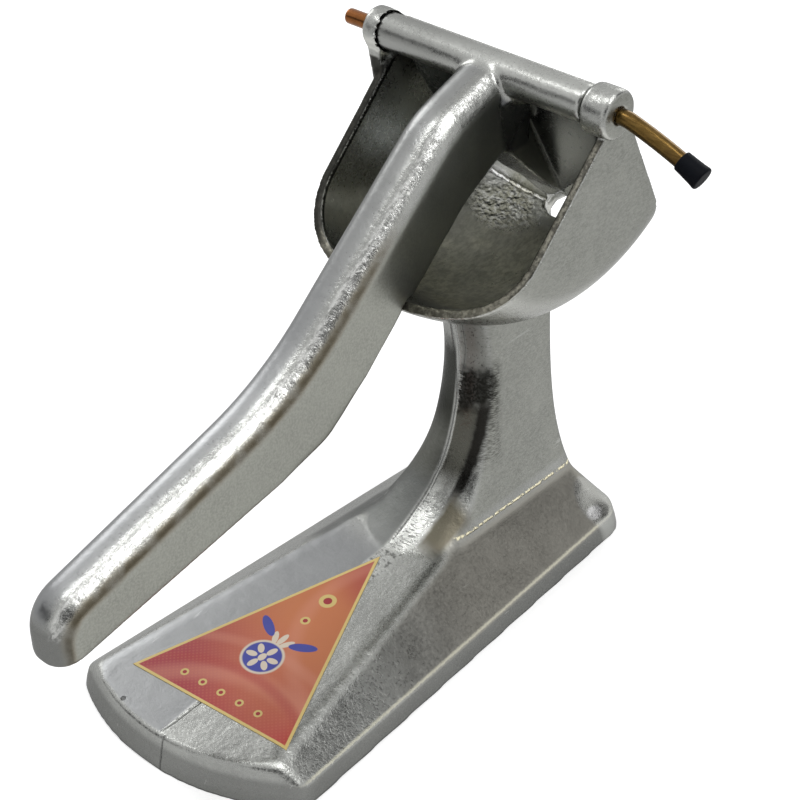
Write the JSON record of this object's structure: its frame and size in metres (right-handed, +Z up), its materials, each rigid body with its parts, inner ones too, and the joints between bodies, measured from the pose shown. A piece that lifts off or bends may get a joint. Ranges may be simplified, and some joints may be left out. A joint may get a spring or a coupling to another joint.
{
  "type": "lever juice press",
  "caption": "Countertop pomegranate juice press: an open trough bowl on a cast pedestal stand, pressed by a long hand lever on a removable pivot rod.",
  "frame": {"origin": "on the table the press stands on, in the middle of the stand's width and straight under the pivot rod", "axes": "+Z up, -Y towards the lever's handle, +X along the pivot rod towards its bent, capped end"},
  "size_m": [0.2167, 0.374, 0.2972],
  "materials": {
    "cast_aluminium": "polished casting",
    "rod_steel": "yellow passivated",
    "cap_rubber": "matte",
    "label_foil": "gloss",
    "screw_steel": "zinc plated"
  },
  "bodies": {
    "frame": {"stand": "cast_aluminium", "bowl": "cast_aluminium", "label": "label_foil", "bowl_bolt_front": "screw_steel", "bowl_bolt_rear": "screw_steel", "bolt_washer_front": "screw_steel", "bolt_washer_rear": "screw_steel", "lock_washer_front": "screw_steel", "lock_washer_rear": "screw_steel"},
    "press_lever": {"lever": "cast_aluminium"},
    "rod": {"pivot_rod": "rod_steel", "rod_cap": "cap_rubber"}
  },
  "joints": [
    {"name": "lever_hinge", "type": "hinge", "parent": "frame", "child": "press_lever", "pos_m": [0, 0, 0.285], "axis": [-1, 0, 0], "range_deg": [0, 110]},
    {"name": "rod_draw", "type": "slide", "parent": "frame", "child": "rod", "axis": [1, 0, 0], "range_m": [0, 0.15]}
  ]
}
